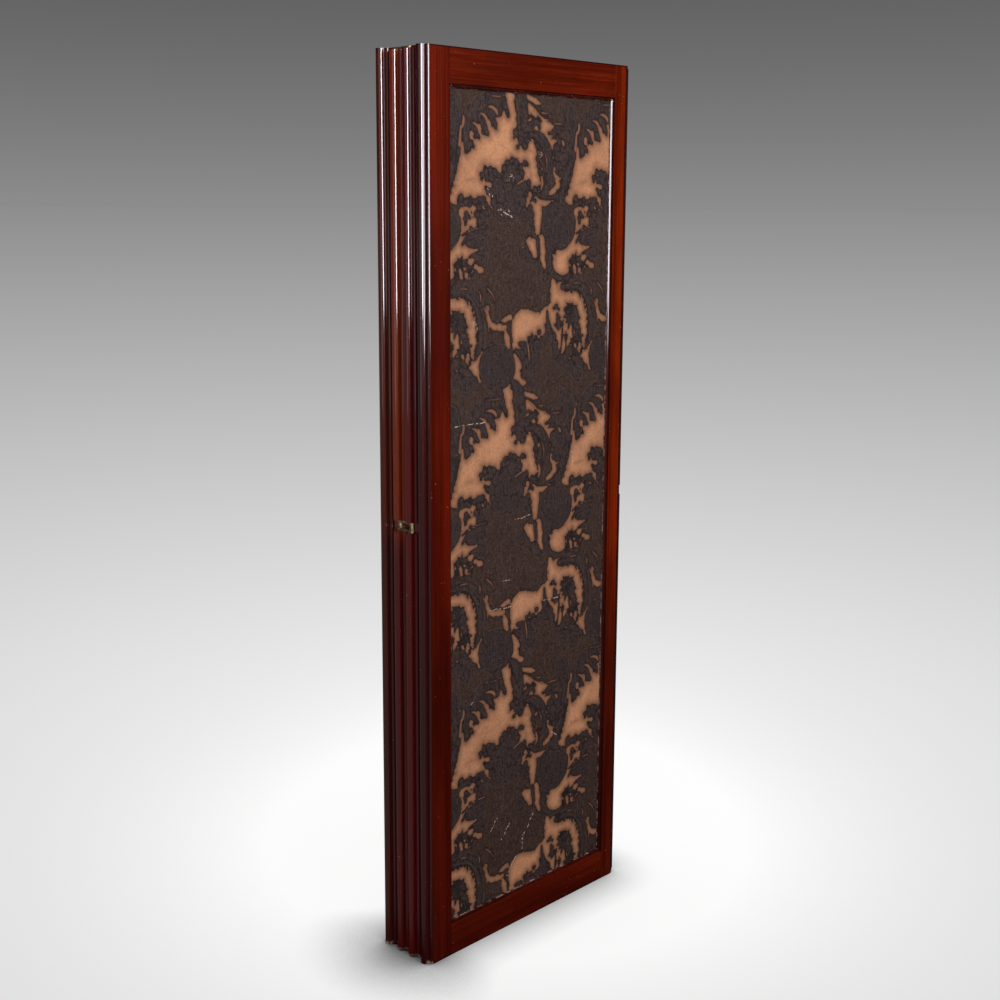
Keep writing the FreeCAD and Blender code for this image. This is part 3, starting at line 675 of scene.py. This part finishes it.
sheetMesh = {"across": 153, "down": 540, "wide": 459.4, "high": 1621.4, "thick": 0.8, "edgeGap": 0.3,
             "groundSink": 0.34, "riseStart": 0.6, "riseEnd": -1.8, "pillow": 0.16, "pillowWidth": 6.0,
             "behind": -5.0}
paperLook = {
    # tan ground: blotches, a faint weave, brown shade beside the print
    "ground": (0.560, 0.262, 0.136, 1), "groundDeep": (0.420, 0.190, 0.100, 1), "blotch": (14.0, 4.0, 0.6),
    "blotchEdge": (0.35, 0.68), "weave": (300.0, 3.0, 0.7, 0.42, 0.72), "weaveShare": 0.40,
    "shade": (0.120, 0.050, 0.028, 1), "shadeWidth": 17.0, "shadeShare": 0.85, "shadePower": (3.0, 0.2),
    # the print: bluish forms on browner masses, cut by fine uneven strokes, worn lighter in specks
    "fray": (420.0, 3.0, 0.7, 2.4, 0.5), "printEdge": (0.45, -0.45), "formInk": (0.025, 0.0165, 0.0170, 1),
    "massInk": (0.038, 0.0195, 0.0140, 1), "formSway": (90.0, 2.0, 0.55, 6.0, 0.0), "formEdge": (4.5, 0.5),
    "paleInkAndHighlight": (0.135, 0.080, 0.060, 1), "inkDeep": (0.006, 0.003, 0.003, 1),
    "strokeSway": (34.0, 3.0, 0.55), "strokeBend": 42.0, "strokeTurn": 1.5, "strokeShare": 0.32,
    "upright": ((330, 330, 70), 3.0, 0.7, 0.40, 0.74), "litShare": 0.36,
    "specks": (210.0, 4.0, 0.75, 0.55, 0.68), "speckShare": 0.62, "deep": (160.0, 3.0, 0.65, 0.50, 0.66),
    "deepShare": 0.60,
    # the dark outline of each form, a painted highlight inside it as on a raised edge, and a darker rim where
    # the print ends
    "seamSway": (85.0, 3.0, 0.6, 8.0, 0.45), "highlightFrom": (1.6, 3.0), "highlightTo": (6.5, 3.5), "paintedHighlight": 0.12,
    "outlineEdge": (2.4, 0.7), "outline": 0.40, "rimEdge": (-6.5, -1.5), "rim": 0.38,
    # chips and scratches down to the pale paper
    "flake": (0.60, 0.44, 0.34, 1), "chips": (260.0, 3.0, 0.6, 0.70, 0.73),
    "chipSpread": (17.0, 2.0, 0.55, 0.54, 0.62), "wander": (55.0, 2.0, 0.55, 7.0, 0.5),
    "scratchGaps": (190.0, 3.0, 0.7, 0.47, 0.55), "flakeGaps": (330.0, 3.0, 0.6, 0.60, 0.64),
    "scratchEdge": 0.35, "roughness": 0.72, "specular": 0.06, "grain": (900.0, 3.0, 0.7), "grainHeight": 0.5,
    "strokeHeight": 0.16, "bump": 0.5, "bumpDepth": 0.25 * mm}

# scratches on the front leaf's paper: start and end (across, down), width, all in mm
frontScratches = [
    ((0, 622), (100, 621), 0.9), ((185, 826), (230, 823), 0.8), ((150, 945), (175, 947), 0.7),
    ((115, 999), (175, 1002), 0.8), ((270, 1008), (325, 1012), 0.8), ((120, 1465), (140, 1440), 0.9),
    ((150, 1495), (175, 1465), 0.9), ((215, 1505), (250, 1460), 1.0), ((213, 1510), (213, 1535), 0.8),
    ((165, 1580), (195, 1545), 0.9), ((140, 222), (172, 236), 1.0), ((352, 700), (358, 742), 0.7),
    ((60, 1180), (74, 1168), 0.7), ((300, 1300), (318, 1312), 0.7)]
frontFlakes = [((160, 161), (172, 162), 7.0), ((108, 186), (114, 193), 5.0), ((140, 222), (165, 232), 9.0),
               ((196, 288), (204, 289), 4.0), ((245, 108), (249, 118), 5.0), ((70, 430), (74, 444), 5.0)]


def sampleRepeat(field, across, down):
    # straight line mixing between the four nearest points of the repeat, wrapped at its edges
    rows, columns = field.shape
    x, y = across / repeat["fieldStep"], down / repeat["fieldStep"]
    left, top = np.floor(x).astype(int), np.floor(y).astype(int)
    a, b = x - left, y - top
    upper, lower = (field[row % rows, left % columns] * (1 - a) + field[row % rows, (left + 1) % columns] * a
                    for row in (top, top + 1))
    return upper * (1 - b) + lower * b


def sheetFrame(node):
    # middle of the CAD sheet and its directions across, up and out of the leaf
    points = np.zeros(len(node.data.vertices) * 3)
    node.data.vertices.foreach_get("co", points)
    points = points.reshape(-1, 3)
    middle = (points.min(0) + points.max(0)) / 2
    axes = np.linalg.svd(points - middle)[2]
    up = axes[0] * np.sign(axes[0][2])
    across = axes[1] * np.sign(axes[1][0])
    if node.name.endswith("back_covering"):
        across = -across
    return middle, across, up, np.cross(across, up)


def makeSheet(name, node, body, material):
    # point (u, v) of the front: middle + (u - wide / 2) across + (high / 2 - v) up + (thick / 2 - sink) out
    middle, across, up, out = sheetFrame(node)
    wide, high, thick = sheetMesh["wide"], sheetMesh["high"], sheetMesh["thick"]
    u, v = np.meshgrid(np.linspace(0, wide, sheetMesh["across"] + 1),
                       np.linspace(0, high, sheetMesh["down"] + 1))
    place = {"across": u + sheetMesh["edgeGap"], "down": v + sheetMesh["edgeGap"]}
    pattern = {name: sampleRepeat(field, **place) for name, field in repeatFields.items()}
    # sunk ground, smooth step at the print's edge, and each printed form cushioned between its seams
    step = (pattern["edge"] - sheetMesh["riseEnd"]) / (sheetMesh["riseStart"] - sheetMesh["riseEnd"])
    step = np.clip(step, 0, 1)
    step = step * step * (3 - 2 * step)
    pillow = np.clip(1 - pattern["seam"] / sheetMesh["pillowWidth"], 0, 1) * (1 - step)
    sink = step * sheetMesh["groundSink"] + pillow ** 2 * sheetMesh["pillow"]
    sink[0], sink[-1], sink[:, 0], sink[:, -1] = 0, 0, 0, 0
    a, b, c = (offset.ravel()[:, None] * mm for offset in (u - wide / 2, high / 2 - v, thick / 2 - sink))
    front = middle + a * across + b * up + c * out
    corners = np.array([[-1, 1], [1, 1], [1, -1], [-1, -1]]) * [wide / 2, high / 2] * mm
    back = middle + corners[:, :1] * across + corners[:, 1:] * up - thick / 2 * mm * out
    index = np.arange(u.size).reshape(u.shape)
    quads = np.stack([index[:-1, :-1], index[1:, :-1], index[1:, 1:], index[:-1, 1:]], -1).reshape(-1, 4)
    first = u.size
    sides = [[*index[0], first + 1, first], [*index[:, -1], first + 2, first + 1],
             [*index[-1, ::-1], first + 3, first + 2], [*index[::-1, 0], first, first + 3],
             [first, first + 1, first + 2, first + 3]]
    sides = [[int(i) for i in side] for side in sides]
    mesh = bpy.data.meshes.new(name)
    mesh.from_pydata(np.vstack([front, back]), [], quads.tolist() + sides)
    mesh.polygons.foreach_set("use_smooth", np.arange(len(mesh.polygons)) < len(quads))
    for attribute, values in {**pattern, **place}.items():
        data = np.concatenate([values.ravel(), np.full(len(back), sheetMesh["behind"])])
        mesh.attributes.new(attribute, "FLOAT", "POINT").data.foreach_set("value", data)
    mesh.materials.append(material)
    sheet = bpy.data.objects.new(name, mesh)
    bpy.context.scene.collection.objects.link(sheet)
    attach(sheet, body)
    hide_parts(node.name)


def makeScratchGroup():
    # distance from the nearest point of a straight stroke, less its width: 1 on the stroke, 0 beside it
    group, start, end = newGroup("scratchStroke", {"Place": "Vector", "From": "Vector", "To": "Vector",
                                                   "Width": "Float"}, {"Mask": "Float"})

    def vector(operation, *inputs, out=0):
        node = addNode(group, "ShaderNodeVectorMath", dict(enumerate(inputs)), operation=operation)
        return node.outputs[out]

    way = vector("SUBTRACT", start["To"], start["From"])
    away = vector("SUBTRACT", start["Place"], start["From"])
    along = calc(group, "DIVIDE", vector("DOT_PRODUCT", away, way, out="Value"),
                 vector("DOT_PRODUCT", way, way, out="Value"))
    along = remap(group, along, 0.0, 1.0, smooth=False)
    nearest = addNode(group, "ShaderNodeVectorMath", {0: way, "Scale": along}, operation="SCALE").outputs[0]
    gap = vector("LENGTH", vector("SUBTRACT", away, nearest), out="Value")
    gap = calc(group, "SUBTRACT", gap, start["Width"])
    group.links.new(remap(group, gap, paperLook["scratchEdge"], -paperLook["scratchEdge"]), end["Mask"])
    return group


def strokes(tree, place, marks):
    # the mask of several strokes, 1 on each of them
    mask = 0.0
    for first, last, width in marks:
        stroke = addNode(tree, "ShaderNodeGroup", {"Place": place, "From": (*first, 0), "To": (*last, 0),
                                                   "Width": width}, node_tree=scratchStroke)
        mask = calc(tree, "MAXIMUM", mask, stroke.outputs[0])
    return mask


def makePaper(name, scratches=(), flakes=()):
    look = paperLook
    material, tree, source, output = newMaterial(name)
    place = source["Object"]
    edge, form, seam, across, down = (addNode(tree, "ShaderNodeAttribute", attribute_name=n).outputs["Fac"]
                                      for n in ("edge", "form", "seam", "across", "down"))
    edge = swayed(tree, edge, place, look["fray"])
    blotch = noise(tree, place, *look["blotch"])
    ground = mixColour(tree, remap(tree, blotch, *look["blotchEdge"]), look["ground"], look["groundDeep"])
    ground = tinted(tree, ground, look["shade"], patches(tree, place, look["weave"]), look["weaveShare"])
    near = calc(tree, "POWER", remap(tree, edge, look["shadeWidth"], 0.0, smooth=False),
                calc(tree, "MULTIPLY_ADD", blotch, *look["shadePower"]))
    ground = tinted(tree, ground, look["shade"], near, look["shadeShare"])
    # strokes = sin(sway + distance from the forms), so they follow the forms
    inForm = remap(tree, swayed(tree, form, place, look["formSway"]), *look["formEdge"])
    ink = mixColour(tree, inForm, look["massInk"], look["formInk"])
    sway = noise(tree, place, *look["strokeSway"])
    lines = calc(tree, "SINE", calc(tree, "MULTIPLY_ADD", sway, look["strokeBend"],
                                    calc(tree, "MULTIPLY", form, look["strokeTurn"])))
    lit = calc(tree, "MULTIPLY_ADD", lines, look["strokeShare"], patches(tree, place, look["upright"]))
    ink = tinted(tree, ink, look["paleInkAndHighlight"], lit, look["litShare"])
    ink = tinted(tree, ink, look["paleInkAndHighlight"], patches(tree, place, look["specks"]), look["speckShare"])
    ink = tinted(tree, ink, look["inkDeep"], patches(tree, place, look["deep"]), look["deepShare"])
    seam = swayed(tree, seam, place, look["seamSway"])
    # painted highlight a little inside each form's outline, as on a raised edge
    paintedHighlight = calc(tree, "MULTIPLY", remap(tree, seam, *look["highlightFrom"]),
                  remap(tree, seam, *look["highlightTo"]))
    ink = tinted(tree, ink, look["paleInkAndHighlight"], paintedHighlight, look["paintedHighlight"])
    ink = tinted(tree, ink, look["inkDeep"], remap(tree, seam, *look["outlineEdge"]), look["outline"])
    ink = tinted(tree, ink, look["inkDeep"], remap(tree, edge, *look["rimEdge"]), look["rim"])
    colour = mixColour(tree, remap(tree, edge, *look["printEdge"]), ground, ink)
    chips = calc(tree, "MULTIPLY", patches(tree, place, look["chips"]),
                 patches(tree, place, look["chipSpread"]))
    if scratches:
        across, down = (swayed(tree, value, place, look["wander"]) for value in (across, down))
        spot = addNode(tree, "ShaderNodeCombineXYZ", {0: across, 1: down}).outputs[0]
        for marks, gaps in ((scratches, look["scratchGaps"]), (flakes, look["flakeGaps"])):
            lost = calc(tree, "MULTIPLY", strokes(tree, spot, marks), patches(tree, place, gaps))
            chips = calc(tree, "MAXIMUM", chips, lost)
    colour = mixColour(tree, chips, colour, look["flake"])
    height = calc(tree, "MULTIPLY_ADD", noise(tree, place, *look["grain"]), look["grainHeight"],
                  calc(tree, "MULTIPLY", lines, look["strokeHeight"]))
    bump = addNode(tree, "ShaderNodeBump", {"Strength": look["bump"], "Distance": look["bumpDepth"],
                                            "Height": height})
    addShader(tree, output, {"Base Color": colour, "Roughness": look["roughness"], "Normal": bump.outputs[0],
                             "Specular IOR Level": look["specular"]})
    return material


repeatFields = drawRepeat()
scratchStroke = makeScratchGroup()
leatherPaper = makePaper("leatherPaper")
wornLeatherPaper = makePaper("wornLeatherPaper", frontScratches, frontFlakes)
for leaf in range(1, 5):
    for side in ("front", "back"):
        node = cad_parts["leaf_%d_%s_covering" % (leaf, side)]
        material = wornLeatherPaper if (leaf, side) == (1, "front") else leatherPaper
        makeSheet("leaf%d%sPaper" % (leaf, side.title()), node, "leaf_%d" % leaf, material)
print("paper hung on both sides of four leaves")

# the floor and the surroundings: distances and places in metres, the rest shares of white

surroundings = {"floorSize": 800.0, "nearValue": 0.956, "horizonValue": 0.262, "fadeLength": 3.565,
                "fadePower": 1.024, "fadeMiddle": (0.661, 0.631, 0.0), "pool": 0.34, "poolWidth": 0.668,
                "poolPower": 2.0, "poolMiddle": (0.181, 0.168, 0.0), "most": 0.995, "glossFloor": 0.035,
                "glossLeft": 0.36, "leftFrom": -0.32, "leftTo": -0.42, "bounceFloor": 0.22, "skyFade": 0.18,
                "skyLow": 0.001, "light": 0.55, "glow": 0.80, "glossSky": 0.025, "shadeFrom": -0.17,
                "shadeTo": -0.34, "frontReach": 0.11, "leftReach": 0.20, "frontShade": 1.15, "leftShade": 3.1,
                "shadeSamples": 8}


def cameraSees(tree):
    # seen is 1 for the camera's rays and those through glass, glossy for the rays from polish
    path = tree.nodes.new("ShaderNodeLightPath").outputs
    seen = calc(tree, "ADD", path["Is Camera Ray"], path["Is Transmission Ray"], clamp=True)
    glossy = path["Is Glossy Ray"]
    return seen, glossy


def makeFloor():
    # one wide triangle, so that no edge of the mesh runs under the screen
    look = surroundings
    size = look["floorSize"]
    mesh = bpy.data.meshes.new("floor")
    mesh.from_pydata([(-size, -size, 0), (size, -size, 0), (0, size, 0)], [], [(0, 1, 2)])
    floor = bpy.data.objects.new("floor", mesh)
    bpy.context.scene.collection.objects.link(floor)
    material, tree, source, output = newMaterial("paleFloor")
    place = source["Object"]
    # value = horizon + (near - horizon) / (1 + (distance / length)^power) + pool * e^-(distance / width)^2
    away, near = (addNode(tree, "ShaderNodeVectorMath", {0: place, 1: look[middle]},
                          operation="DISTANCE").outputs["Value"] for middle in ("fadeMiddle", "poolMiddle"))
    fade = calc(tree, "POWER", calc(tree, "DIVIDE", away, look["fadeLength"]), look["fadePower"])
    fade = calc(tree, "DIVIDE", 1.0, calc(tree, "ADD", fade, 1.0))
    value = calc(tree, "MULTIPLY_ADD", fade, look["nearValue"] - look["horizonValue"], look["horizonValue"])
    # painted pool of light: the floor brighter round the screen's foot
    pool = calc(tree, "POWER", calc(tree, "DIVIDE", near, look["poolWidth"]), look["poolPower"])
    pool = calc(tree, "EXPONENT", calc(tree, "MULTIPLY", pool, -1.0))
    value = calc(tree, "MULTIPLY_ADD", pool, look["pool"], value)
    value = calc(tree, "MINIMUM", value, look["most"])
    # the screen's own shade on the floor, wider and deeper at its left end
    across = addNode(tree, "ShaderNodeSeparateXYZ", {0: place}).outputs[0]
    reach, power = (remap(tree, across, look["shadeFrom"], look["shadeTo"], look["front" + what],
                          look["left" + what]) for what in ("Reach", "Shade"))
    corner = addNode(tree, "ShaderNodeAmbientOcclusion", {"Distance": reach}, samples=look["shadeSamples"])
    value = calc(tree, "MULTIPLY", value, calc(tree, "POWER", corner.outputs["AO"], power))
    # the polish sees a dim floor, brighter to the left of the screen, where the mouldings look
    seen, glossy = cameraSees(tree)
    sheen = remap(tree, across, look["leftFrom"], look["leftTo"], look["glossFloor"] - look["bounceFloor"],
                  look["glossLeft"] - look["bounceFloor"])
    other = calc(tree, "MULTIPLY_ADD", glossy, sheen, look["bounceFloor"])
    # the camera's value is part glow and part light thrown back, so the object's shadow shows on it
    shaded = calc(tree, "MULTIPLY", value, (1.0 - look["glow"]) / look["light"])
    lit = calc(tree, "MULTIPLY_ADD", calc(tree, "SUBTRACT", shaded, other), seen, other)
    diffuse = addNode(tree, "ShaderNodeBsdfDiffuse", {"Color": lit})
    glow = addNode(tree, "ShaderNodeEmission", {"Color": value,
                                                "Strength": calc(tree, "MULTIPLY", seen, look["glow"])})
    both = addNode(tree, "ShaderNodeAddShader", {0: diffuse.outputs[0], 1: glow.outputs[0]})
    tree.links.new(both.outputs[0], output["Surface"])
    floor.data.materials.append(material)
    return floor


def makeWorld():
    look = surroundings
    world = bpy.data.worlds.new("studio")
    world.use_nodes = True
    tree = world.node_tree
    tree.nodes.clear()
    way = tree.nodes.new("ShaderNodeTexCoord").outputs["Generated"]
    height = addNode(tree, "ShaderNodeSeparateXYZ", {0: way}).outputs[2]
    # backdrop value falls off with height above the horizon: low + (horizon - low) * e ^ (-height / fade)
    up = calc(tree, "MAXIMUM", height, 0.0)
    fall = calc(tree, "EXPONENT", calc(tree, "DIVIDE", up, -look["skyFade"]))
    value = calc(tree, "MULTIPLY_ADD", fall, look["horizonValue"] - look["skyLow"], look["skyLow"])
    seen, glossy = cameraSees(tree)
    other = calc(tree, "MULTIPLY_ADD", glossy, look["glossSky"] - look["light"], look["light"])
    strength = addNode(tree, "ShaderNodeMix", {0: seen, 2: other, 3: value}).outputs[0]
    background = addNode(tree, "ShaderNodeBackground", {"Color": (1, 1, 1, 1), "Strength": strength})
    output = tree.nodes.new("ShaderNodeOutputWorld")
    tree.links.new(background.outputs[0], output.inputs["Surface"])
    bpy.context.scene.world = world


floor = makeFloor()
makeWorld()
print("floor and surroundings made")

lamps = {
    # where it stands, what it points at, width and height, power in watts, and the kind of light it leaves
    # out: the two strips only give the polish its highlights, the key lamp and the back lamp only light
    "rightStrip": {"place": (0.60, -2.30, 1.60), "aim": (-0.2, -0.1, 1.2), "size": (0.80, 1.30),
                   "power": 68.0, "tint": (1.0, 0.95, 1.0), "without": "visible_diffuse"},
    "frontStrip": {"place": (-0.98, -2.36, 1.72), "aim": (-0.28, 0.0, 1.25), "size": (1.10, 1.30),
                   "power": 148.0, "tint": (1.0, 0.94, 1.0), "without": "visible_diffuse"},
    "leftCard": {"place": (-2.55, -0.75, 1.50), "aim": (-0.3, 0.0, 1.0), "size": (1.40, 1.60), "power": 8.0,
                 "tint": (0.96, 0.91, 1.0)},
    "keyLamp": {"place": (-0.60, -2.50, 2.70), "aim": (0.0, 0.0, 1.1), "size": (1.60, 1.20), "power": 64.0,
                "tint": (1.0, 1.0, 1.0), "without": "visible_glossy"},
    "backLamp": {"place": (1.30, 2.60, 2.40), "aim": (0.0, 0.0, 1.0), "size": (1.60, 1.20), "power": 50.0,
                 "tint": (1.0, 1.0, 1.0), "without": "visible_glossy"},
}


def makeLamps(floor):
    # the floor is left out of their light, so only the soft shadow of the surroundings shows on it
    unlit = bpy.data.collections.new("unlitByLamps")
    unlit.objects.link(floor)
    unlit.collection_objects[0].light_linking.link_state = "EXCLUDE"
    for name, lamp in lamps.items():
        light = bpy.data.lights.new(name, "AREA")
        light.shape = "RECTANGLE"
        light.size, light.size_y = lamp["size"]
        light.energy = lamp["power"]
        light.color = lamp["tint"]
        thing = bpy.data.objects.new(name, light)
        bpy.context.scene.collection.objects.link(thing)
        thing.location = lamp["place"]
        away = Vector(lamp["place"]) - Vector(lamp["aim"])
        thing.rotation_euler = away.to_track_quat("Z", "Y").to_euler()
        thing.light_linking.receiver_collection = unlit
        thing.visible_camera = False
        if "without" in lamp:
            setattr(thing, lamp["without"], False)


makeLamps(floor)
print("lamps set:", ", ".join(lamps))

# angles in degrees, the focal length as a share of the sensor's width, the shift as Blender counts it
camera = {"place": (-2.0255, -1.9474, 1.4761), "yaw": -45.827, "pitch": -10.670, "roll": -0.268,
          "sensor": 36.0, "focalShare": 1.4145, "shift": -0.030}


def makeCamera():
    data = bpy.data.cameras.new("camera")
    data.sensor_width = camera["sensor"]
    data.lens = data.sensor_width * camera["focalShare"]
    data.shift_y = camera["shift"]
    data.clip_end = surroundings["floorSize"]
    thing = bpy.data.objects.new("camera", data)
    bpy.context.scene.collection.objects.link(thing)
    thing.location = camera["place"]
    # from level and facing +y: roll about the way it looks, then pitch, then yaw
    turn = Matrix.Rotation(math.radians(camera["yaw"]), 3, "Z")
    turn = turn @ Matrix.Rotation(math.radians(camera["pitch"]), 3, "X")
    turn = turn @ Matrix.Rotation(math.radians(camera["roll"]), 3, "Y")
    turn = turn @ Matrix.Rotation(math.pi / 2, 3, "X")
    thing.rotation_euler = turn.to_euler()
    bpy.context.scene.camera = thing


makeCamera()
bpy.context.scene.view_settings.view_transform = "Standard"
